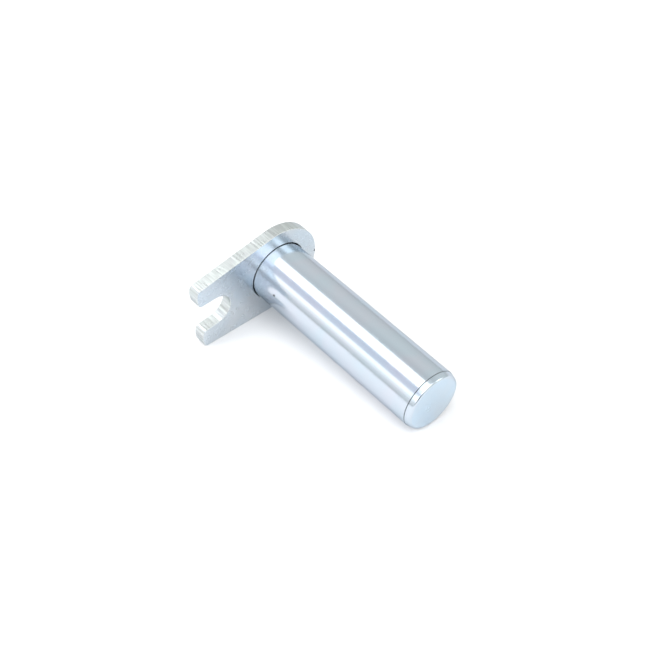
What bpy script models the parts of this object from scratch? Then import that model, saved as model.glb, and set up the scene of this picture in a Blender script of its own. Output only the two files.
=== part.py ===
"""Hitch pin lock: a solid steel pin welded into a slotted lock plate.

The pin carries the load. The plate seats against the outside of the hitch, and a keeper bolt in the
plate's open slot stops the pin from turning or backing out. Nothing moves in the part itself.

World frame: the pin's axis is the X axis, with the centre of the plate-end face at the origin and the nose
towards +X. The plate's slot opens towards -Y, and Z runs across the plate.
"""

import math

import bmesh
import bpy
from mathutils import Vector

INCH = 0.0254

# Driving dimensions, in metres.
PIN_DIAMETER = 1.25 * INCH
PIN_REACH = 4.375 * INCH
PIN_STAND_PROUD = 0.005
PLATE_THICKNESS = 0.25 * INCH
HEAD_RADIUS = 0.0245
SLOT_END_RADIUS = 11 / 16 * INCH / 2
SLOT_CENTRE_REACH = 0.0394
TINE_CORNER_REACH = 0.0486
TINE_CROWN = 0.001
WELD_LEG = 0.0045

# Angles of the plate's outline.
EDGE_TAPER = math.radians(5.4)
SLOT_FLARE = math.radians(3.0)

# Roundings of the tines' ends.
TINE_CORNER_RADIUS = 0.0024
TINE_CROWN_RADIUS = 0.012

# Lead-in on the nose, and the small edge breaks.
NOSE_CHAMFER_LENGTH = 0.0035
NOSE_CHAMFER_DEPTH = 0.001
NOSE_EDGE_RADIUS = 0.0004
TAIL_CHAMFER = 0.0008
TAIL_EDGE_RADIUS = 0.0003
PLATE_EDGE_BREAK = 0.0003
WELD_TOE = 0.0004
WELD_CROWN = 0.0006

# Clearances between the separate pieces.
HOLE_CLEARANCE = 0.00035
TOUCH_GAP = 0.0003

# Places along the pin's axis, measured from its plate end.
PIN_RADIUS = PIN_DIAMETER / 2
PLATE_BACK = PIN_STAND_PROUD
SEAT_FACE = PLATE_BACK + PLATE_THICKNESS
PIN_LENGTH = SEAT_FACE + PIN_REACH

# How finely round shapes are divided.
TURN_STEPS = 96
ARC_STEP = math.radians(4)
EDGE_STEPS = 3
TINE_STEPS = 6
WELD_FACE_STEPS = 5
MERGE_DISTANCE = 0.00001
FLAT_ENOUGH = 0.999

# Turns a child's local +Z to the world's +X and its local +X to the world's -Y.
AXIS_ROTATION = (-math.pi / 2, 0.0, -math.pi / 2)

ZINC_COLOUR = (0.66, 0.71, 0.76)
WELD_COLOUR = (0.55, 0.58, 0.61)


def clear_scene():
    """Removes every object that the scene starts with."""
    for thing in list(bpy.data.objects):
        bpy.data.objects.remove(thing, do_unlink=True)


def steel(name, colour, roughness):
    """A metal material with one colour and roughness."""
    material = bpy.data.materials.new(name)
    material.use_nodes = True
    shader = material.node_tree.nodes["Principled BSDF"]
    shader.inputs["Base Color"].default_value = (*colour, 1.0)
    shader.inputs["Roughness"].default_value = roughness
    shader.inputs["Metallic"].default_value = 1.0
    return material


def on_circle(centre, radius, angle):
    """The point of a circle at an angle from the first axis."""
    return Vector((centre[0] + radius * math.cos(angle), centre[1] + radius * math.sin(angle)))


def arc(centre, radius, start, end):
    """Points along an arc from one angle to another, both ends included."""
    steps = max(2, math.ceil(abs(end - start) / ARC_STEP))
    return [on_circle(centre, radius, start + (end - start) * i / steps) for i in range(steps + 1)]


def fillet(before, corner, after, radius, steps):
    """Points that round one corner of a profile with an arc of the given radius."""
    to_before = (before - corner).normalized()
    to_after = (after - corner).normalized()
    half_angle = to_before.angle(to_after) / 2
    run = radius / math.tan(half_angle)
    start = corner + to_before * run
    end = corner + to_after * run
    centre = corner + (to_before + to_after).normalized() * radius / math.sin(half_angle)
    points = []
    for i in range(steps + 1):
        spoke = (start - centre).lerp(end - centre, i / steps)
        points.append(centre + spoke.normalized() * radius)
    return points


def rounded(corners):
    """A profile through (radius, height, rounding) corners, with each rounding above zero filleted."""
    places = [Vector(corner[:2]) for corner in corners]
    points = []
    for i, (_, _, rounding) in enumerate(corners):
        if rounding > 0:
            points += fillet(places[i - 1], places[i], places[i + 1], rounding, EDGE_STEPS)
        else:
            points.append(places[i])
    return points


def turned(name, profile, closed, collection, parent, material):
    """A piece turned about its local Z from a profile of (radius, height) points, top to bottom."""
    mesh = bpy.data.meshes.new(name)
    edges = [(i, i + 1) for i in range(len(profile) - 1)]
    if closed:
        edges.append((len(profile) - 1, 0))
    mesh.from_pydata([(point[0], 0.0, point[1]) for point in profile], edges, [])
    piece = bpy.data.objects.new(name, mesh)
    collection.objects.link(piece)
    piece.parent = parent
    mesh.materials.append(material)
    screw = piece.modifiers.new("Turn", "SCREW")
    screw.axis = "Z"
    screw.angle = math.tau
    screw.steps = TURN_STEPS
    screw.render_steps = TURN_STEPS
    screw.use_smooth_shade = True
    screw.use_merge_vertices = True
    screw.merge_threshold = MERGE_DISTANCE
    return piece


def pin_profile():
    """The bar's profile from the nose centre, down the outside, to the centre of the plate end."""
    return rounded(
        [
            (0.0, PIN_LENGTH, 0.0),
            (PIN_RADIUS - NOSE_CHAMFER_DEPTH, PIN_LENGTH, NOSE_EDGE_RADIUS),
            (PIN_RADIUS, PIN_LENGTH - NOSE_CHAMFER_LENGTH, NOSE_EDGE_RADIUS),
            (PIN_RADIUS, TAIL_CHAMFER, TAIL_EDGE_RADIUS),
            (PIN_RADIUS - TAIL_CHAMFER, 0.0, TAIL_EDGE_RADIUS),
            (0.0, 0.0, 0.0),
        ]
    )


def weld_profile():
    """A fillet weld's section: two short toes, a slightly crowned face, and the corner between the legs."""
    inner = PIN_RADIUS + TOUCH_GAP
    top = PLATE_BACK - TOUCH_GAP
    leg = WELD_LEG - TOUCH_GAP
    plate_toe = Vector((inner + leg, top - WELD_TOE))
    pin_toe = Vector((inner + WELD_TOE, top - leg))
    outward = Vector((1.0, -1.0)).normalized()
    face = []
    for i in range(WELD_FACE_STEPS + 1):
        t = i / WELD_FACE_STEPS
        face.append(plate_toe.lerp(pin_toe, t) + outward * WELD_CROWN * math.sin(math.pi * t))
    return [Vector((inner, top)), Vector((inner + leg, top)), *face, Vector((inner, top - leg))]


def half_outline():
    """One side of the plate's outline, from the slot's inner end round to the back of the head."""
    slot_end = arc((SLOT_CENTRE_REACH, 0.0), SLOT_END_RADIUS, math.pi, math.pi / 2 + SLOT_FLARE)
    head = arc((0.0, 0.0), HEAD_RADIUS, math.pi / 2 - EDGE_TAPER, math.pi)
    mouth_rise = (TINE_CORNER_REACH - SLOT_CENTRE_REACH) * math.sin(SLOT_FLARE)
    outer_fall = TINE_CORNER_REACH * math.sin(EDGE_TAPER)
    mouth_side = (SLOT_END_RADIUS + mouth_rise) / math.cos(SLOT_FLARE)
    outer_side = (HEAD_RADIUS - outer_fall) / math.cos(EDGE_TAPER)
    mouth_corner = Vector((TINE_CORNER_REACH, mouth_side))
    outer_corner = Vector((TINE_CORNER_REACH, outer_side))
    crown = Vector((TINE_CORNER_REACH + TINE_CROWN, (mouth_side + outer_side) / 2))
    tine_end = fillet(slot_end[-1], mouth_corner, crown, TINE_CORNER_RADIUS, TINE_STEPS)
    tine_end += fillet(mouth_corner, crown, outer_corner, TINE_CROWN_RADIUS, TINE_STEPS)
    tine_end += fillet(crown, outer_corner, head[0], TINE_CORNER_RADIUS, TINE_STEPS)
    return slot_end + tine_end + head


def add_closed_spline(curve, points):
    """Adds a closed line of straight segments through the points."""
    spline = curve.splines.new("POLY")
    spline.points.add(len(points) - 1)
    for target, point in zip(spline.points, points):
        target.co = (point[0], point[1], 0.0, 1.0)
    spline.use_cyclic_u = True


def plate_curve(material):
    """The plate as a filled flat curve with its thickness and its edge breaks."""
    curve = bpy.data.curves.new("plate_outline", "CURVE")
    curve.dimensions = "2D"
    curve.fill_mode = "BOTH"
    curve.extrude = PLATE_THICKNESS / 2 - PLATE_EDGE_BREAK
    curve.bevel_depth = PLATE_EDGE_BREAK
    curve.bevel_resolution = 1
    curve.offset = -PLATE_EDGE_BREAK
    upper = half_outline()
    lower = [Vector((point[0], -point[1])) for point in reversed(upper[1:-1])]
    add_closed_spline(curve, upper + lower)
    hole_radius = PIN_RADIUS + HOLE_CLEARANCE
    add_closed_spline(curve, arc((0.0, 0.0), hole_radius, 0.0, math.tau)[:-1])
    curve.materials.append(material)
    return curve


def join_caps(mesh):
    """Welds the two flat faces to the edges and divides each into well-shaped triangles."""
    work = bmesh.new()
    work.from_mesh(mesh)
    bmesh.ops.remove_doubles(work, verts=work.verts, dist=MERGE_DISTANCE)
    flat = {face for face in work.faces if abs(face.normal.z) > FLAT_ENOUGH}
    inner = [edge for edge in work.edges if all(face in flat for face in edge.link_faces)]
    bmesh.ops.beautify_fill(work, faces=list(flat), edges=inner)
    work.to_mesh(mesh)
    work.free()


def make_lock_plate(collection, parent, material):
    """The flat plate: round head, tapered sides, two tines, the open slot and the hole for the pin."""
    curve = plate_curve(material)
    outline = bpy.data.objects.new("plate_outline", curve)
    collection.objects.link(outline)
    evaluated = outline.evaluated_get(bpy.context.evaluated_depsgraph_get())
    mesh = bpy.data.meshes.new_from_object(evaluated)
    bpy.data.objects.remove(outline, do_unlink=True)
    join_caps(mesh)
    mesh.name = "lock_plate"
    plate = bpy.data.objects.new("lock_plate", mesh)
    collection.objects.link(plate)
    plate.parent = parent
    plate.location = (0.0, 0.0, (PLATE_BACK + SEAT_FACE) / 2)
    return plate


def main():
    """Builds the three pieces on one axis."""
    clear_scene()
    collection = bpy.data.collections.new("hitch_pin_lock")
    bpy.context.scene.collection.children.link(collection)
    axis = bpy.data.objects.new("pin_axis", None)
    axis.rotation_euler = AXIS_ROTATION
    collection.objects.link(axis)
    zinc = steel("zinc_plated_steel", ZINC_COLOUR, 0.25)
    cut_zinc = steel("zinc_plated_plate", ZINC_COLOUR, 0.4)
    weld_zinc = steel("zinc_plated_weld", WELD_COLOUR, 0.45)
    turned("pin", pin_profile(), False, collection, axis, zinc)
    make_lock_plate(collection, axis, cut_zinc)
    turned("weld_bead", weld_profile(), True, collection, axis, weld_zinc)


main()
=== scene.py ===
"""The looks of a hitch pin lock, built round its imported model.

The part is a zinc-plated steel weldment: a solid bar pin, a slotted lock plate and the weld that
joins them. Each piece is a class that holds its sizes and the methods that mesh and dress it, and
each finish is a small class that makes one material. Everything is in metres in the model's own
frame: the pin's axis is X with its nose towards +X, the plate's slot opens towards -Y, and Z runs
across the plate.
"""

import logging
import math
from dataclasses import dataclass, field
from enum import Enum, IntEnum

import bmesh
import bpy
from mathutils import Matrix, Vector, noise


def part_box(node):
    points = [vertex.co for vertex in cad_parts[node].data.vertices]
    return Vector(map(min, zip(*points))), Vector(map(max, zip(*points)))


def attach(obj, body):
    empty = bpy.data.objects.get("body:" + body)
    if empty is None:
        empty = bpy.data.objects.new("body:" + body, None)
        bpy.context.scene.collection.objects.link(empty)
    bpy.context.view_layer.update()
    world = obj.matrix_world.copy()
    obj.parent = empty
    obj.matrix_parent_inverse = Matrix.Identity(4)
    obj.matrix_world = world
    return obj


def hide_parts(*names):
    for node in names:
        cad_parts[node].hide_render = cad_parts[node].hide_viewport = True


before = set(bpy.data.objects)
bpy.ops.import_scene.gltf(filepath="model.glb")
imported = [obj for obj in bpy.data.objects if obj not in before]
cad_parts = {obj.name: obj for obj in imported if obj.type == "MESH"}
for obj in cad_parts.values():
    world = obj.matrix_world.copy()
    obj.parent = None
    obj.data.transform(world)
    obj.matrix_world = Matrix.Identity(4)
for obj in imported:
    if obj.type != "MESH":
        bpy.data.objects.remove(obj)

log = logging.getLogger("hitch_pin_lock")

MM = 0.001
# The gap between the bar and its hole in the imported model.
HOLE_CLEARANCE = 0.35 * MM
BODY = "root"

Socket = bpy.types.NodeSocket
Tree = bpy.types.NodeTree
Ring = list[Vector]


def linear(code: str) -> tuple[float, float, float, float]:
    """Turns an sRGB hex colour to linear values.

    Args:
        code: The colour as "#rrggbb".

    Returns:
        Red, green and blue from 0 to 1, and an opacity of 1.
    """
    channels = []
    for i in (1, 3, 5):
        c = int(code[i : i + 2], 16) / 255
        channels.append(c / 12.92 if c <= 0.04045 else ((c + 0.055) / 1.055) ** 2.4)
    return (*channels, 1.0)


def add_node(
    tree: Tree, kind: str, settings: dict | None = None, links: dict | None = None
) -> bpy.types.Node:
    """Adds a node with its settings and links.

    Args:
        tree: The node tree that takes the node.
        kind: The node's type, such as "ShaderNodeMath".
        settings: Values for the node's own properties or, by name or place, for its inputs.
        links: The sockets that feed its inputs, by the input's name or place.

    Returns:
        The new node.
    """
    node = tree.nodes.new(kind)
    for name, value in (settings or {}).items():
        if isinstance(name, str) and hasattr(node, name):
            setattr(node, name, value)
        else:
            node.inputs[name].default_value = value
    for name, source in (links or {}).items():
        tree.links.new(source, node.inputs[name])
    return node


def smooth(low: float, high: float, value: float) -> float:
    """Eases from 0 at low to 1 at high."""
    t = min(1.0, max(0.0, (value - low) / (high - low)))
    return t * t * (3 - 2 * t)


def polar(radius: float, angle: float) -> Vector:
    """The point at a radius and an angle in the plane across the pin's axis."""
    return Vector((radius * math.cos(angle), radius * math.sin(angle)))


def fillet(before: Vector, corner: Vector, after: Vector, radius: float, steps: int) -> Ring:
    """Rounds one corner of a flat profile.

    Args:
        before: A point on the way into the corner.
        corner: The sharp corner.
        after: A point on the way out of it.
        radius: The radius of the rounding.
        steps: How many parts the arc is cut into.

    Returns:
        The points of the arc, in order.
    """
    way_in = (before - corner).normalized()
    way_out = (after - corner).normalized()
    half_angle = way_in.angle(way_out) / 2
    run = radius / math.tan(half_angle)
    centre = corner + (way_in + way_out).normalized() * radius / math.sin(half_angle)
    start = corner + way_in * run - centre
    end = corner + way_out * run - centre
    return [centre + start.lerp(end, i / steps).normalized() * radius for i in range(steps + 1)]


def respaced(points: Ring, spacing: float) -> Ring:
    """Walks along a closed outline and drops points at an even spacing.

    Args:
        points: The outline's corners, in order.
        spacing: The wanted distance between points.

    Returns:
        The evenly spaced outline.
    """
    loop = points + [points[0]]
    lengths = [(b - a).length for a, b in zip(loop, loop[1:])]
    total = sum(lengths)
    count = round(total / spacing)
    places = []
    index = 0
    walked = 0.0
    for i in range(count):
        target = total * i / count
        while walked + lengths[index] < target:
            walked += lengths[index]
            index += 1
        places.append(loop[index].lerp(loop[index + 1], (target - walked) / lengths[index]))
    return places


def inward_normals(points: Ring) -> Ring:
    """The unit directions that point into a counterclockwise outline's material."""
    normals = []
    for i in range(len(points)):
        along = points[(i + 1) % len(points)] - points[i - 1]
        normals.append(Vector((-along.y, along.x)).normalized())
    return normals


class Mesher:
    """Builds one closed mesh out of rings of points joined by faces."""

    def __init__(self, name: str) -> None:
        """Starts an empty mesh with the piece's name."""
        self.name = name
        self.work = bmesh.new()

    def ring(self, points: Ring) -> list[bmesh.types.BMVert]:
        """Adds the points of one ring as vertices."""
        return [self.work.verts.new(point) for point in points]

    def bridge(self, first: list, second: list, slot: int = 0) -> None:
        """Joins two rings of the same count with quads.

        Args:
            first: The ring on one side.
            second: The ring on the other side.
            slot: The material slot that the faces take.
        """
        count = len(first)
        for i in range(count):
            j = (i + 1) % count
            face = self.work.faces.new((first[i], first[j], second[j], second[i]))
            face.material_index = slot
            face.smooth = True

    def cap(self, ring: list, centre: Vector, slot: int = 0) -> None:
        """Closes a ring with a fan of triangles to its centre."""
        middle = self.work.verts.new(centre)
        for i, corner in enumerate(ring):
            face = self.work.faces.new((corner, ring[(i + 1) % len(ring)], middle))
            face.material_index = slot
            face.smooth = True

    def fill(self, outer: list, inner: list, facing: Vector) -> None:
        """Fills the flat face between an outline and a hole.

        Args:
            outer: The outline's vertices.
            inner: The hole's vertices.
            facing: The direction that the filled face looks in.
        """
        edges = []
        for ring in (outer, inner):
            edges += [self.work.edges.get((ring[i - 1], ring[i])) for i in range(len(ring))]
        made = bmesh.ops.triangle_fill(
            self.work, use_beauty=True, use_dissolve=False, edges=edges, normal=facing
        )
        for face in made["geom"]:
            if isinstance(face, bmesh.types.BMFace):
                face.smooth = False
                if face.normal.dot(facing) < 0:
                    face.normal_flip()

    def finish(self, materials: list[bpy.types.Material]) -> bpy.types.Object:
        """Turns the rings into an object.

        Args:
            materials: The materials of its slots, in order.

        Returns:
            The object, linked to the scene.
        """
        bmesh.ops.recalc_face_normals(self.work, faces=self.work.faces)
        mesh = bpy.data.meshes.new(self.name)
        self.work.to_mesh(mesh)
        self.work.free()
        for material in materials:
            mesh.materials.append(material)
        piece = bpy.data.objects.new(self.name, mesh)
        bpy.context.scene.collection.objects.link(piece)
        return piece


class Tone(Enum):
    """Colours of the zinc: under its clear film, on welded metal and where it is gone, and a dark
    grey that is painted shade in the nose's groove.
    """

    SKY = "#c2ced8"
    VIOLET = "#c7cdd7"
    STEEL = "#cbd1d6"
    PALE = "#c9cfce"
    SILVER = "#c8cccd"
    DULL = "#b1babe"
    HEATED = "#98a2a8"
    AZURE = "#bed0de"
    BARE = "#8a9297"
    CHIP = "#2c3036"


class BarSlot(IntEnum):
    """The bar's material slots."""

    SKIN = 0
    GROOVE = 1
    END = 2


class PlateSlot(IntEnum):
    """The plate's material slots."""

    FACE = 0
    EDGE = 1


@dataclass(frozen=True)
class Blemish:
    """A small dark mark where the plating is chipped, by its place in the frame and its radius."""

    place: tuple[float, float, float]
    radius: float
    core: float = 0.6


@dataclass(frozen=True)
class BlueZinc:
    """Bright zinc plating with a clear-blue passivate.

    The eye sees a cool silver metal whose cast drifts between sky blue and violet, because the
    clear film over the zinc isn't equally thick everywhere.
    """

    name: str
    tones: tuple[Tone, Tone]
    tone_size: float = 16 * MM
    roughness: tuple[float, float] = (0.14, 0.2)
    cloud_size: float = 6 * MM
    # The parts of each noise's range over which the cast and the polish change.
    cast_range: tuple[float, float] = (0.36, 0.64)
    cloud_range: tuple[float, float] = (0.3, 0.7)
    grazing_tint: str = "#c8ccd0"
    blemishes: tuple[Blemish, ...] = ()

    def start(self) -> tuple[bpy.types.Material, Tree, bpy.types.Node, Socket]:
        """Makes the metal shader with its drifting cast and its uneven polish.

        Returns:
            The material, its tree, its shader and the coordinates for more patterns, in metres.
        """
        material = bpy.data.materials.new(self.name)
        material.use_nodes = True
        tree = material.node_tree
        shader = tree.nodes["Principled BSDF"]
        shader.inputs["Metallic"].default_value = 1.0
        shader.inputs["Specular Tint"].default_value = linear(self.grazing_tint)
        place = add_node(tree, "ShaderNodeTexCoord").outputs["Object"]
        drift = add_node(
            tree,
            "ShaderNodeTexNoise",
            {"Scale": 1 / self.tone_size, "Detail": 2.0, "Roughness": 0.5, "Distortion": 0.4},
            {"Vector": place},
        )
        cast = add_node(tree, "ShaderNodeValToRGB", links={0: drift.outputs[0]})
        for element, position, tone in zip(cast.color_ramp.elements, self.cast_range, self.tones):
            element.position = position
            element.color = linear(tone.value)
        tree.links.new(self.chipped(tree, place, cast.outputs[0]), shader.inputs["Base Color"])
        cloud = add_node(
            tree,
            "ShaderNodeTexNoise",
            {"Scale": 1 / self.cloud_size, "Detail": 4.0, "Roughness": 0.6},
            {"Vector": place},
        )
        polish = add_node(
            tree,
            "ShaderNodeMapRange",
            {
                "From Min": self.cloud_range[0],
                "From Max": self.cloud_range[1],
                "To Min": self.roughness[0],
                "To Max": self.roughness[1],
            },
            {0: cloud.outputs[0]},
        )
        tree.links.new(polish.outputs[0], shader.inputs["Roughness"])
        return material, tree, shader, place

    def chipped(self, tree: Tree, place: Socket, colour: Socket) -> Socket:
        """Darkens a colour at each blemish.

        Args:
            tree: The material's tree.
            place: The coordinates, in metres.
            colour: The metal's colour.

        Returns:
            The colour with the blemishes.
        """
        for blemish in self.blemishes:
            away = add_node(
                tree,
                "ShaderNodeVectorMath",
                {"operation": "DISTANCE", 1: blemish.place},
                {0: place},
            )
            share = add_node(
                tree,
                "ShaderNodeMapRange",
                {
                    "From Min": blemish.core * blemish.radius,
                    "From Max": blemish.radius,
                    "To Min": 1.0,
                    "To Max": 0.0,
                },
                {0: away.outputs["Value"]},
            )
            mixed = add_node(tree, "ShaderNodeMix", {"data_type": "RGBA"})
            tree.links.new(share.outputs[0], mixed.inputs["Factor"])
            tree.links.new(colour, mixed.inputs[6])
            mixed.inputs[7].default_value = linear(Tone.CHIP.value)
            colour = mixed.outputs[2]
        return colour

    def streaks(
        self, tree: Tree, place: Socket, spacing: tuple[float, float, float], detail: float
    ) -> Socket:
        """A noise drawn out by different amounts along X, Y and Z.

        Args:
            tree: The material's tree.
            place: The coordinates, in metres.
            spacing: The size of the grain along each axis, in metres.
            detail: How many finer layers it has.

        Returns:
            The socket with the noise's value.
        """
        scale = tuple(1 / size for size in spacing)
        stretched = add_node(tree, "ShaderNodeMapping", {"Scale": scale}, {"Vector": place})
        grain = add_node(
            tree,
            "ShaderNodeTexNoise",
            {"Scale": 1.0, "Detail": detail, "Roughness": 0.55},
            {"Vector": stretched.outputs[0]},
        )
        return grain.outputs[0]

    def emboss(
        self, tree: Tree, shader: bpy.types.Node, reliefs: list[tuple[Socket, float]]
    ) -> None:
        """Adds reliefs to the surface, each as a bump over the one before.

        Args:
            tree: The material's tree.
            shader: The shader that takes the result.
            reliefs: Each pattern's socket with its depth in metres.
        """
        normal = None
        for height, depth in reliefs:
            links = {"Height": height}
            if normal:
                links["Normal"] = normal
            bump = add_node(tree, "ShaderNodeBump", {"Strength": 1.0, "Distance": depth}, links)
            normal = bump.outputs[0]
        tree.links.new(normal, shader.inputs["Normal"])


@dataclass(frozen=True)
class GroundBarZinc(BlueZinc):
    """Cold-drawn bar, centreless ground and then plated: glossy, with long clean reflections.

    The eye sees hard-edged bands of light along the bar, a little broken by fine marks round it.
    """

    mark_spacing: float = 0.35 * MM
    mark_length: float = 4 * MM
    mark_depth: float = 0.0006 * MM
    ripple_size: float = 14 * MM
    ripple_depth: float = 0.008 * MM

    def material(self) -> bpy.types.Material:
        """Makes the material."""
        material, tree, shader, place = self.start()
        along_mark = (self.mark_spacing, self.mark_length, self.mark_length)
        along_bar = (3 * self.ripple_size, self.ripple_size, self.ripple_size)
        marks = self.streaks(tree, place, along_mark, 3.0)
        ripple = self.streaks(tree, place, along_bar, 1.0)
        self.emboss(tree, shader, [(ripple, self.ripple_depth), (marks, self.mark_depth)])
        return material


@dataclass(frozen=True)
class RolledPlateZinc(BlueZinc):
    """Hot-rolled plate, pickled and then plated: satin, faintly mottled like fine orange peel.

    The eye sees a soft blue-grey sheen that shades evenly across the flat face.
    """

    peel_size: float = 0.7 * MM
    peel_depth: float = 0.0015 * MM
    mottle_size: float = 9 * MM
    mottle_depth: float = 0.01 * MM

    def material(self) -> bpy.types.Material:
        """Makes the material."""
        material, tree, shader, place = self.start()
        peel = self.streaks(tree, place, (self.peel_size,) * 3, 3.0)
        mottle = self.streaks(tree, place, (self.mottle_size,) * 3, 2.0)
        self.emboss(tree, shader, [(mottle, self.mottle_depth), (peel, self.peel_depth)])
        return material


@dataclass(frozen=True)
class LaserCutZinc(BlueZinc):
    """A laser-cut edge under the same plating: fine lines straight across the plate's thickness.

    The eye sees a paler, silkier metal than the faces, ruled from one face to the other. Real lines
    are about 0.3 mm apart, and these are drawn two to three times as coarse so that they show.
    """

    line_spacing: float = 0.7 * MM
    line_depth: float = 0.04 * MM
    line_length: float = 14 * MM
    line_range: tuple[float, float] = (0.35, 0.6)
    # Partly painted highlight: the lines' colour swings darker and lighter by this share, for real
    # oxide lines and for the glints off their ridges.
    line_shade: float = 0.14

    def material(self) -> bpy.types.Material:
        """Makes the material."""
        material, tree, shader, place = self.start()
        across_edge = (self.line_length, self.line_spacing, self.line_spacing)
        lines = self.streaks(tree, place, across_edge, 3.0)
        metal = shader.inputs["Base Color"].links[0].from_socket
        # Real oxide lines and painted glints: the colour is made lighter and darker along the laser
        # lines.
        shade = add_node(
            tree,
            "ShaderNodeMapRange",
            {
                "From Min": self.line_range[0],
                "From Max": self.line_range[1],
                "To Min": 1 - self.line_shade,
                "To Max": 1 + self.line_shade,
            },
            {0: lines},
        )
        links = {0: metal, "Scale": shade.outputs[0]}
        ruled = add_node(tree, "ShaderNodeVectorMath", {"operation": "SCALE"}, links)
        tree.links.new(ruled.outputs[0], shader.inputs["Base Color"])
        self.emboss(tree, shader, [(lines, self.line_depth)])
        return material


@dataclass(frozen=True)
class WeldZinc(BlueZinc):
    """A wire-welded bead under the plating: duller than the bar, with a skin of fine grains.

    The eye sees soft highlights on each ripple, and a slightly frosted skin between them.
    """

    grain_size: float = 0.4 * MM
    grain_depth: float = 0.02 * MM

    def material(self) -> bpy.types.Material:
        """Makes the material."""
        material, tree, shader, place = self.start()
        grains = self.streaks(tree, place, (self.grain_size,) * 3, 3.0)
        self.emboss(tree, shader, [(grains, self.grain_depth)])
        return material


@dataclass(frozen=True)
class TurnedEndZinc(BlueZinc):
    """The bar's ends, faced off on a lathe and then plated: satin, with faint rings round the axis.

    The eye sees one flat, calm sheet of pale blue.
    """

    ring_spacing: float = 0.3 * MM
    ring_depth: float = 0.0008 * MM

    def material(self) -> bpy.types.Material:
        """Makes the material."""
        material, tree, shader, place = self.start()
        kind = "ShaderNodeVectorMath"
        across = add_node(tree, kind, {"operation": "MULTIPLY", 1: (0, 1, 1)}, {0: place})
        reach = add_node(tree, kind, {"operation": "LENGTH"}, {0: across.outputs[0]})
        rings = add_node(
            tree,
            "ShaderNodeTexNoise",
            {"noise_dimensions": "1D", "Scale": 1 / self.ring_spacing, "Detail": 2.0},
            {"W": reach.outputs["Value"]},
        )
        self.emboss(tree, shader, [(rings.outputs[0], self.ring_depth)])
        return material


@dataclass(frozen=True)
class StarvedZinc(BlueZinc):
    """Painted shade in a narrow groove: a dark grey that stands in for the shade falling there.

    The eye sees a thin dark line between two bright surfaces.
    """

    def material(self) -> bpy.types.Material:
        """Makes the material."""
        return self.start()[0]


@dataclass(frozen=True)
class PaintedBoard:
    """A matt white board under the part, such as a light table's.

    The eye sees clean white that takes only the softest shadow.
    """

    name: str = "matt_white_board"
    tones: tuple[str, str] = ("#e9e9ea", "#ebebeb")
    tone_size: float = 0.25

    def material(self) -> bpy.types.Material:
        """Makes the material."""
        material = bpy.data.materials.new(self.name)
        material.use_nodes = True
        tree = material.node_tree
        shader = tree.nodes["Principled BSDF"]
        shader.inputs["Roughness"].default_value = 0.9
        shader.inputs["Specular IOR Level"].default_value = 0.2
        place = add_node(tree, "ShaderNodeTexCoord").outputs["Object"]
        scale = {"Scale": 1 / self.tone_size}
        cloud = add_node(tree, "ShaderNodeTexNoise", scale, {"Vector": place})
        cast = add_node(tree, "ShaderNodeValToRGB", links={0: cloud.outputs[0]})
        for element, code in zip(cast.color_ramp.elements, self.tones):
            element.color = linear(code)
        tree.links.new(cast.outputs[0], shader.inputs["Base Color"])
        return material


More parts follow.
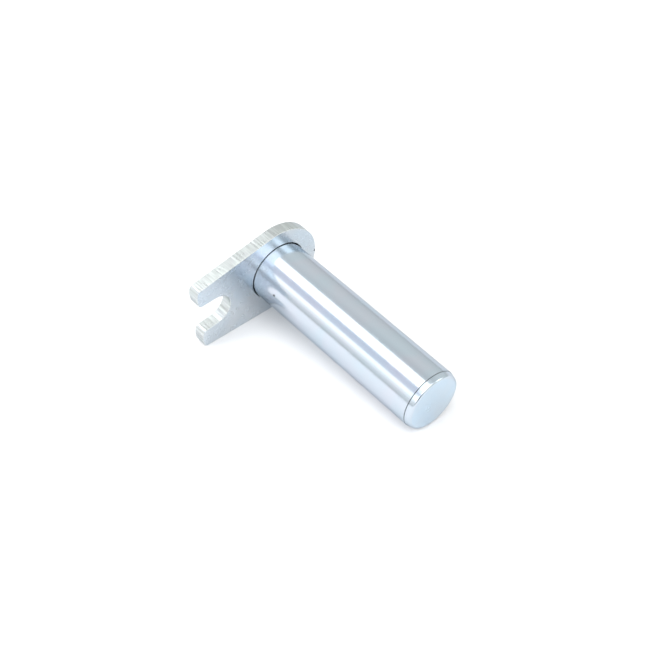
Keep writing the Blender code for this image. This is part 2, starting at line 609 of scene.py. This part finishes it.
@dataclass
class BarPin:
    """The solid bar that carries the load, with its lead-in at the nose."""

    start: float
    end: float
    radius: float
    nose_lead_length: float = 3.5 * MM
    nose_lead_depth: float = 1.0 * MM
    nose_edge: float = 1.2 * MM
    groove_width: float = 0.45 * MM
    groove_depth: float = 0.4 * MM
    groove_edge: float = 0.05 * MM
    tail_lead: float = 0.8 * MM
    tail_edge: float = 0.3 * MM
    edge_steps: int = 5
    hold: float = 0.1 * MM
    cap_radius: float = 0.5 * MM
    segments: int = 192
    ring_spacing: float = 1.6 * MM
    waviness: float = 0.006 * MM
    wave_size: float = 13 * MM
    calm_run: float = 4 * MM
    finish: GroundBarZinc = GroundBarZinc(
        "zinc_on_ground_bar",
        (Tone.SKY, Tone.VIOLET),
        blemishes=(Blemish((26.4 * MM, -14.98 * MM, 5.26 * MM), 0.75 * MM),),
    )
    end_finish: TurnedEndZinc = TurnedEndZinc(
        "zinc_on_turned_end", (Tone.AZURE, Tone.SKY), roughness=(0.2, 0.28), grazing_tint="#ffffff"
    )
    # Painted shade: the groove's dark grey stands in for the shade that falls in it.
    groove_finish: StarvedZinc = StarvedZinc(
        "painted_shade_in_groove", (Tone.BARE, Tone.BARE), roughness=(0.4, 0.5)
    )

    def profile(self) -> Ring:
        """The section as (place along the axis, radius), from the tail's centre to the nose's."""
        tail = self.radius - self.tail_lead
        nose = self.radius - self.nose_lead_depth
        lead_start = self.end - self.nose_lead_length
        groove = Vector((lead_start + self.groove_width / 2, self.radius - self.groove_depth))
        lead_slope = self.nose_lead_depth / self.nose_lead_length
        lead_fall = self.groove_width * lead_slope
        lead_top = Vector((lead_start + self.groove_width, self.radius - lead_fall))
        corners = [
            (Vector((self.start, tail)), self.tail_edge),
            (Vector((self.start + self.tail_lead, self.radius)), self.tail_edge),
            (Vector((lead_start, self.radius)), self.groove_edge),
            (groove, self.groove_edge),
            (lead_top, self.groove_edge),
            (Vector((self.end, nose)), self.nose_edge),
        ]
        places = [Vector((self.start, 0.0))]
        places += [place for place, _ in corners]
        places.append(Vector((self.end, 0.0)))
        stops = [[Vector((self.start, self.cap_radius))]]
        for i, (_, rounding) in enumerate(corners):
            stops.append(fillet(places[i], places[i + 1], places[i + 2], rounding, self.edge_steps))
        stops.append([Vector((self.end, self.cap_radius))])
        points = []
        for first, second in zip(stops, stops[1:]):
            points += first[:-1] + self.spread(first[-1], second[0])
        return points + stops[-1]

    def spread(self, first: Vector, last: Vector) -> Ring:
        """Points at the ring spacing between two places, and close to both, without the last."""
        run = last - first
        if run.length < 5 * self.hold:
            return [first]
        start, end = first + run.normalized() * self.hold, last - run.normalized() * self.hold
        count = max(1, round((end - start).length / self.ring_spacing))
        return [first] + [start.lerp(end, i / count) for i in range(count + 1)]

    def wave(self, x: float, angle: float) -> float:
        """How far the drawn bar's skin stands off a true cylinder."""
        direction = polar(self.radius / self.wave_size, angle)
        place = Vector((x / (2 * self.wave_size), direction.x, direction.y))
        calm = self.calm_run
        rise = smooth(self.start, self.start + calm, x)
        fall = 1 - smooth(self.end - 2 * calm, self.end - calm, x)
        return self.waviness * rise * fall * noise.noise(place)

    def build(self) -> bpy.types.Object:
        """Turns the profile round the axis and dresses it."""
        mesher = Mesher("bar_pin")
        rings = []
        for place in self.profile():
            points = []
            for i in range(self.segments):
                angle = math.tau * i / self.segments
                across = polar(place.y + self.wave(place.x, angle), angle)
                points.append(Vector((place.x, across.x, across.y)))
            rings.append(mesher.ring(points))
        groove_start = self.end - self.nose_lead_length
        groove_end = groove_start + self.groove_width
        for first, second in zip(rings, rings[1:]):
            middle = (first[0].co.x + second[0].co.x) / 2
            if groove_start < middle < groove_end:
                slot = BarSlot.GROOVE
            elif first[0].co.x == second[0].co.x:
                slot = BarSlot.END
            else:
                slot = BarSlot.SKIN
            mesher.bridge(first, second, slot)
        mesher.cap(rings[0], Vector((self.start, 0, 0)), BarSlot.END)
        mesher.cap(rings[-1], Vector((self.end, 0, 0)), BarSlot.END)
        finishes = {
            BarSlot.SKIN: self.finish,
            BarSlot.GROOVE: self.groove_finish,
            BarSlot.END: self.end_finish,
        }
        return mesher.finish([finishes[slot].material() for slot in BarSlot])


@dataclass
class LockPlate:
    """The flat plate with its round head, tapered sides, two tines and open slot.

    Its outline is worked out as (reach from the pin's axis towards the slot's mouth, rise across
    the plate).
    """

    back: float
    front: float
    head_radius: float
    hole_radius: float
    slot_radius: float = 17.4625 / 2 * MM
    slot_reach: float = 39.4 * MM
    tine_reach: float = 48.6 * MM
    tine_crown: float = 1.0 * MM
    side_taper: float = math.radians(5.4)
    slot_flare: float = math.radians(3.0)
    tine_corner: float = 2.4 * MM
    tine_round: float = 12 * MM
    edge_break: float = 0.3 * MM
    outline_spacing: float = 0.22 * MM
    corner_steps: int = 16
    break_steps: int = 4
    hole_segments: int = 192
    wall_rows: int = 9
    line_spacing: float = 0.9 * MM
    line_depth: float = 0.09 * MM
    jet_drag: float = 0.5
    coarse_share: float = 0.4
    face_finish: RolledPlateZinc = RolledPlateZinc(
        "zinc_on_rolled_plate",
        (Tone.STEEL, Tone.SKY),
        tone_size=22 * MM,
        roughness=(0.22, 0.3),
        grazing_tint="#ffffff",
        blemishes=(Blemish((11.35 * MM, 23.75 * MM, -2.83 * MM), 0.7 * MM),),
    )
    edge_finish: LaserCutZinc = LaserCutZinc(
        "zinc_on_laser_cut_edge",
        (Tone.PALE, Tone.SILVER),
        tone_size=8 * MM,
        roughness=(0.24, 0.36),
        blemishes=(Blemish((9.5 * MM, -32.3 * MM, 1.9 * MM), 1.2 * MM),),
    )

    def arc(self, centre: Vector, radius: float, start: float, end: float) -> Ring:
        """Points of an arc, a fraction of the outline spacing apart."""
        steps = max(4, math.ceil(abs(end - start) * radius / self.outline_spacing * 2))
        return [centre + polar(radius, start + (end - start) * i / steps) for i in range(steps + 1)]

    def half_outline(self) -> Ring:
        """Half the outline, from the slot's inner end round a tine to the back of the head."""
        slot_end = self.arc(
            Vector((self.slot_reach, 0)), self.slot_radius, math.pi, math.pi / 2 + self.slot_flare
        )
        head = self.arc(Vector((0, 0)), self.head_radius, math.pi / 2 - self.side_taper, math.pi)
        mouth_rise = (self.tine_reach - self.slot_reach) * math.sin(self.slot_flare)
        side_fall = self.tine_reach * math.sin(self.side_taper)
        mouth_side = (self.slot_radius + mouth_rise) / math.cos(self.slot_flare)
        outer_side = (self.head_radius - side_fall) / math.cos(self.side_taper)
        mouth = Vector((self.tine_reach, mouth_side))
        shoulder = Vector((self.tine_reach, outer_side))
        crown = Vector((self.tine_reach + self.tine_crown, (mouth.y + shoulder.y) / 2))
        steps = self.corner_steps
        points = slot_end + fillet(slot_end[-1], mouth, crown, self.tine_corner, steps)
        points += fillet(mouth, crown, shoulder, self.tine_round, steps)
        return points + fillet(crown, shoulder, head[0], self.tine_corner, steps) + head

    def outline(self) -> Ring:
        """The whole outline, counterclockwise and evenly spaced."""
        upper = self.half_outline()
        lower = [Vector((point.x, -point.y)) for point in reversed(upper[1:-1])]
        return respaced(upper + lower, self.outline_spacing)

    def cut_depth(self, walked: float, depth: float) -> float:
        """How far the laser's lines bite into the edge.

        Args:
            walked: The distance along the outline.
            depth: The place through the thickness, 0 at the front and 1 at the back.

        Returns:
            The bite in metres, which deepens towards the back where the jet drags.
        """
        drag = depth * depth * self.jet_drag
        fine = noise.noise(Vector((walked / self.line_spacing + drag, depth * 0.5, 0.0)))
        coarse = noise.noise(Vector((walked / (3 * self.line_spacing) + drag, depth, 5.0)))
        lines = 0.5 + 0.5 * fine + self.coarse_share * coarse
        return self.line_depth * lines * (0.5 + 0.5 * depth)

    def sections(self) -> list[tuple[float, float, float]]:
        """The edge from front to back, as (place along X, inset, share of the cut lines)."""
        broken = self.edge_break
        front = []
        for i in range(self.break_steps + 1):
            point = polar(1.0, math.pi / 2 * (1 - i / self.break_steps))
            front.append((self.front - broken * (1 - point.y), broken * (1 - point.x), 1 - point.y))
        span = self.front - self.back - 2 * broken
        walls = []
        for i in range(1, self.wall_rows):
            walls.append((self.front - broken - span * i / self.wall_rows, 0.0, 1.0))
        back = [(self.front + self.back - x, inset, share) for x, inset, share in reversed(front)]
        return front + walls + back

    def build(self) -> bpy.types.Object:
        """Builds the edge and the hole from rings, fills both faces and dresses the plate."""
        mesher = Mesher("slotted_lock_plate")
        points = self.outline()
        normals = inward_normals(points)
        edge_rings = []
        hole_rings = []
        for x, inset, share in self.sections():
            depth = (self.front - x) / (self.front - self.back)
            ring = []
            for i, (point, normal) in enumerate(zip(points, normals)):
                bite = share * self.cut_depth(i * self.outline_spacing, depth)
                flat = point + normal * (inset + bite)
                ring.append(Vector((x, -flat.x, flat.y)))
            edge_rings.append(mesher.ring(ring))
            bore = []
            for i in range(self.hole_segments):
                flat = polar(self.hole_radius + inset, math.tau * i / self.hole_segments)
                bore.append(Vector((x, flat.x, flat.y)))
            hole_rings.append(mesher.ring(bore))
        for rings in (edge_rings, hole_rings):
            for first, second in zip(rings, rings[1:]):
                mesher.bridge(first, second, PlateSlot.EDGE)
        mesher.fill(edge_rings[0], hole_rings[0], Vector((1, 0, 0)))
        mesher.fill(edge_rings[-1], hole_rings[-1], Vector((-1, 0, 0)))
        finishes = {PlateSlot.FACE: self.face_finish, PlateSlot.EDGE: self.edge_finish}
        return mesher.finish([finishes[slot].material() for slot in PlateSlot])


@dataclass
class WeldBead:
    """The fillet weld round the pin at the plate's back, laid as a chain of overlapping ripples."""

    plate_back: float
    pin_radius: float
    leg: float
    bite: float = 0.15 * MM
    crown: float = 0.5 * MM
    ripples: int = 58
    ripple_height: float = 0.28 * MM
    ripple_lag: float = 1.4
    wander: float = 0.25 * MM
    wander_pace: float = 3.0
    # Where the two legs read the noise, so that they wander apart.
    leg_seeds: tuple[float, float] = (0.0, 7.0)
    turn_steps: int = 696
    face_steps: int = 12
    finish: WeldZinc = WeldZinc(
        "zinc_on_weld_metal", (Tone.HEATED, Tone.DULL), roughness=(0.28, 0.4)
    )

    def section(self, angle: float) -> Ring:
        """The bead's section as (place along X, radius) at an angle round the pin."""
        spot = polar(self.wander_pace, angle)
        legs = []
        for seed in self.leg_seeds:
            drift = noise.noise(Vector((spot.x, spot.y, seed)))
            legs.append(self.leg + self.wander * drift)
        plate_toe = Vector((self.plate_back, self.pin_radius + legs[0]))
        pin_toe = Vector((self.plate_back - legs[1], self.pin_radius))
        outward = Vector((-1.0, 1.0)).normalized()
        face = []
        for i in range(self.face_steps + 1):
            t = i / self.face_steps
            belly = math.sin(math.pi * t)
            phase = angle / math.tau * self.ripples + self.ripple_lag * belly
            ripple = self.ripple_height * (1 - phase % 1.0) * belly**0.5
            face.append(plate_toe.lerp(pin_toe, t) + outward * (self.crown * belly + ripple))
        root = self.pin_radius - self.bite
        foot = self.plate_back + self.bite
        return [Vector((foot, root)), Vector((foot, plate_toe.y)), *face, Vector((pin_toe.x, root))]

    def build(self) -> bpy.types.Object:
        """Sweeps the section round the pin, closes the ring and dresses it."""
        mesher = Mesher("fillet_weld")
        rings = []
        for i in range(self.turn_steps):
            angle = math.tau * i / self.turn_steps
            points = []
            for place in self.section(angle):
                across = polar(place.y, angle)
                points.append(Vector((place.x, across.x, across.y)))
            rings.append(mesher.ring(points))
        for first, second in zip(rings, rings[1:] + rings[:1]):
            mesher.bridge(first, second)
        return mesher.finish([self.finish.material()])


@dataclass
class Board:
    """The white board that the part lies on, touching the plate's front edge and the nose's rim."""

    plate_front: float
    plate_radius: float
    nose_rim: float
    pin_radius: float
    side_taper: float = math.radians(5.4)
    half_size: float = 20.0
    finish: PaintedBoard = PaintedBoard()

    def pitch(self) -> float:
        """How far the board slopes along the pin."""
        return math.atan((self.plate_radius - self.pin_radius) / (self.nose_rim - self.plate_front))

    def up(self) -> Vector:
        """The board's normal: the part lies on a tapered side of its plate, with its nose down."""
        slope = self.pitch()
        return Vector(
            (
                -math.sin(slope),
                math.cos(slope) * math.sin(self.side_taper),
                math.cos(slope) * math.cos(self.side_taper),
            )
        )

    def frame(self) -> Matrix:
        """The board's axes and its place under the middle of the part."""
        up = self.up()
        along = (Vector((1, 0, 0)) - up * up.x).normalized()
        across = up.cross(along)
        touch = Vector((self.plate_front, 0, 0)) - up * self.plate_radius * math.cos(self.pitch())
        middle = touch + along * (self.nose_rim - self.plate_front) / 2
        turn = Matrix((along, across, up)).transposed().to_4x4()
        return Matrix.Translation(middle) @ turn

    def build(self) -> bpy.types.Object:
        """Makes the board."""
        size = self.half_size
        mesh = bpy.data.meshes.new("board")
        corners = [(-size, -size, 0), (size, -size, 0), (size, size, 0), (-size, size, 0)]
        mesh.from_pydata(corners, [], [(0, 1, 2, 3)])
        mesh.materials.append(self.finish.material())
        board = bpy.data.objects.new("board", mesh)
        board.matrix_world = self.frame()
        bpy.context.scene.collection.objects.link(board)
        return board


def facing_origin(outward: Vector, up: Vector) -> Matrix:
    """The turn that makes a light or a card look back along a direction.

    Args:
        outward: The unit direction from the part to it.
        up: The direction that its local Y follows.

    Returns:
        The rotation as a 4x4 matrix.
    """
    side = up.cross(outward).normalized()
    return Matrix((side, outward.cross(side), outward)).transposed().to_4x4()


def hung_facing_part(direction: tuple[float, float, float], distance: float) -> Matrix:
    """The place of a light or card that hangs in a direction from the part and faces it."""
    outward = Vector(direction).normalized()
    return Matrix.Translation(outward * distance) @ facing_origin(outward, Vector((0, 0, 1)))


def hang_light(
    name: str, size: tuple[float, float], radiance: float, colour: str, place: Matrix
) -> bpy.types.Object:
    """Makes a rectangular light that the camera doesn't see.

    Args:
        name: The light's name.
        size: Its two sides, in metres.
        radiance: How bright its face is, whatever its size.
        colour: Its colour as "#rrggbb".
        place: Its place and turn.

    Returns:
        The light, linked to the scene.
    """
    light = bpy.data.lights.new(name, "AREA")
    light.shape = "RECTANGLE"
    light.size, light.size_y = size
    light.color = linear(colour)[:3]
    light.energy = radiance * math.pi * size[0] * size[1]
    lamp = bpy.data.objects.new(name, light)
    lamp.matrix_world = place
    lamp.visible_camera = False
    bpy.context.scene.collection.objects.link(lamp)
    return lamp


@dataclass(frozen=True)
class StripLight:
    """A long softbox beside the pin's axis, which the bar shows as one band.

    Its edges are angles round the X axis, from +Y through +Z, so they set the band's width.
    """

    name: str
    low_edge: float
    high_edge: float
    radiance: float
    colour: str = "#ffffff"
    tail_reach: float = 1.9
    nose_reach: float = 1.4
    distance: float = 1.2

    def build(self) -> bpy.types.Object:
        """Makes the light at its place, facing the pin."""
        middle = math.radians((self.low_edge + self.high_edge) / 2)
        spread = math.radians((self.high_edge - self.low_edge) / 2)
        size = (2 * self.distance * math.tan(spread), self.tail_reach + self.nose_reach)
        along = Vector((1, 0, 0))
        outward = Vector((0, math.cos(middle), math.sin(middle)))
        centre = outward * self.distance + along * (self.nose_reach - self.tail_reach) / 2
        place = Matrix.Translation(centre) @ facing_origin(outward, along)
        return hang_light(self.name, size, self.radiance, self.colour, place)


@dataclass(frozen=True)
class Softbox:
    """A square softbox that faces the part from one direction."""

    name: str
    direction: tuple[float, float, float]
    distance: float
    size: float
    radiance: float
    colour: str = "#ffffff"
    shows_in_metal: bool = True

    def build(self) -> bpy.types.Object:
        """Makes the light at its place, facing the part."""
        place = hung_facing_part(self.direction, self.distance)
        lamp = hang_light(self.name, (self.size, self.size), self.radiance, self.colour, place)
        lamp.visible_glossy = self.shows_in_metal
        return lamp


@dataclass(frozen=True)
class DarkCard:
    """A dark card where the tent is open for the camera: it gives the nose's rim its dark line."""

    name: str = "camera_opening"
    direction: tuple[float, float, float] = (0.82, -0.50, 0.32)
    distance: float = 0.85
    size: float = 0.5
    colour: str = "#3c3f44"

    def build(self) -> bpy.types.Object:
        """Makes the card, seen only in reflections."""
        material = bpy.data.materials.new("dark_felt")
        material.use_nodes = True
        shader = material.node_tree.nodes["Principled BSDF"]
        shader.inputs["Base Color"].default_value = linear(self.colour)
        shader.inputs["Roughness"].default_value = 1.0
        mesh = bpy.data.meshes.new(self.name)
        half = self.size / 2
        corners = [(-half, -half, 0), (half, -half, 0), (half, half, 0), (-half, half, 0)]
        mesh.from_pydata(corners, [], [(0, 1, 2, 3)])
        mesh.materials.append(material)
        card = bpy.data.objects.new(self.name, mesh)
        card.matrix_world = hung_facing_part(self.direction, self.distance)
        card.visible_camera = False
        card.visible_diffuse = False
        card.visible_shadow = False
        bpy.context.scene.collection.objects.link(card)
        return card


@dataclass
class Studio:
    """A pale tent round the part, with long softboxes over it."""

    up: Vector
    strips: tuple[StripLight, ...] = (
        StripLight("overhead_softbox", 80.5, 111.5, 1.7),
        StripLight("overhead_nose_end", 68.0, 124.0, 1.5, tail_reach=-0.3),
        StripLight("dusky_gap", 112.5, 136.5, 0.15, "#7070ff"),
        StripLight("slot_side_softbox", 136.8, 149.5, 1.0),
        StripLight("slot_side_nose_end", 131.0, 155.0, 1.5, tail_reach=-0.3),
        StripLight("slot_side_spill", 149.5, 159.0, 0.5),
        StripLight("slot_side_edge", 159.0, 169.0, 0.22, "#f2f4ff"),
    )
    # The first gives the nose's rim its bright line. The second lights the board close to the part.
    softboxes: tuple[Softbox, ...] = (
        Softbox("nose_side_softbox", (0.60, 0.66, 0.46), 1.2, 0.5, radiance=1.8),
        Softbox("board_softbox", (-0.45, -0.65, 0.6), 2.0, 1.2, radiance=3.1, shows_in_metal=False),
    )
    tent_strength: float = 1.17
    # The tent's shade by the sine of the height above the board.
    shades: tuple[tuple[float, str], ...] = (
        (0.0, "#d9dbd9"),
        (0.35, "#e4e5e3"),
        (0.7, "#e6e8e6"),
        (0.82, "#e0e2e1"),
        (0.9, "#d5d7d7"),
    )

    def tent(self) -> None:
        """Makes the tent as the world, shaded by height."""
        world = bpy.data.worlds.new("pale_tent")
        bpy.context.scene.world = world
        world.use_nodes = True
        tree = world.node_tree
        background = tree.nodes["Background"]
        direction = add_node(tree, "ShaderNodeTexCoord").outputs["Generated"]
        height = add_node(
            tree,
            "ShaderNodeVectorMath",
            {"operation": "DOT_PRODUCT", 1: tuple(self.up)},
            {0: direction},
        )
        shade = add_node(tree, "ShaderNodeValToRGB", links={0: height.outputs["Value"]})
        ramp = shade.color_ramp.elements
        while len(ramp) < len(self.shades):
            ramp.new(0.5)
        for element, (position, code) in zip(ramp, self.shades):
            element.position = position
            element.color = linear(code)
        tree.links.new(shade.outputs[0], background.inputs["Color"])
        background.inputs["Strength"].default_value = self.tent_strength

    def build(self) -> None:
        """Makes the tent and the lights, and shows whites as plain white."""
        self.tent()
        for light in (*self.strips, *self.softboxes):
            light.build()
        DarkCard().build()
        bpy.context.scene.view_settings.view_transform = "Standard"


@dataclass
class StudioCamera:
    """The camera: a short telephoto that looks down across the part."""

    up: Vector
    position: Vector = field(default_factory=lambda: Vector((0.37464, -0.26739, 0.50407)))
    aim: Vector = field(default_factory=lambda: Vector((0.05667, -0.00856, 0.00454)))
    roll: float = math.radians(-0.903)
    lens: float = 75.0
    sensor: float = 36.0

    def build(self) -> bpy.types.Object:
        """Makes the camera and gives it to the scene."""
        forward = (self.aim - self.position).normalized()
        side = forward.cross(self.up).normalized()
        top = side.cross(forward)
        level = Matrix((side, top, -forward)).transposed().to_4x4()
        lens = bpy.data.cameras.new("studio_camera")
        lens.lens = self.lens
        lens.sensor_width = self.sensor
        lens.clip_start = 0.01
        camera = bpy.data.objects.new("studio_camera", lens)
        roll = Matrix.Rotation(self.roll, 4, "Z")
        camera.matrix_world = Matrix.Translation(self.position) @ level @ roll
        bpy.context.scene.collection.objects.link(camera)
        bpy.context.scene.camera = camera
        return camera


def place(piece: bpy.types.Object, node: str, slot: str) -> None:
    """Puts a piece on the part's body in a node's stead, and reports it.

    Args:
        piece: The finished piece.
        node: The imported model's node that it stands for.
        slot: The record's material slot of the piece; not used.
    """
    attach(piece, BODY)
    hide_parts(node)
    log.info("%s: %d faces, for node %s", piece.name, len(piece.data.polygons), node)


def main() -> None:
    """Builds every piece, the board, the studio and the camera."""
    logging.basicConfig(level=logging.INFO, format="%(name)s: %(message)s")
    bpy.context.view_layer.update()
    pin_low, pin_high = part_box("pin")
    plate_low, plate_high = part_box("lock_plate")
    _, weld_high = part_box("weld_bead")

    pin = BarPin(start=pin_low.x, end=pin_high.x, radius=pin_high.z)
    place(pin.build(), "pin", "pin_zinc")
    plate = LockPlate(
        back=plate_low.x,
        front=plate_high.x,
        head_radius=plate_high.y,
        hole_radius=pin_high.z + HOLE_CLEARANCE,
    )
    place(plate.build(), "lock_plate", "plate_zinc")
    weld = WeldBead(plate_back=plate_low.x, pin_radius=pin.radius, leg=weld_high.z - pin.radius)
    place(weld.build(), "weld_bead", "weld_zinc")

    board = Board(
        plate_front=plate.front,
        plate_radius=plate.head_radius,
        nose_rim=pin.end - pin.nose_lead_length,
        pin_radius=pin.radius,
    )
    board.build()
    Studio(up=board.up()).build()
    StudioCamera(up=board.up()).build()


if __name__ == "__main__":
    main()
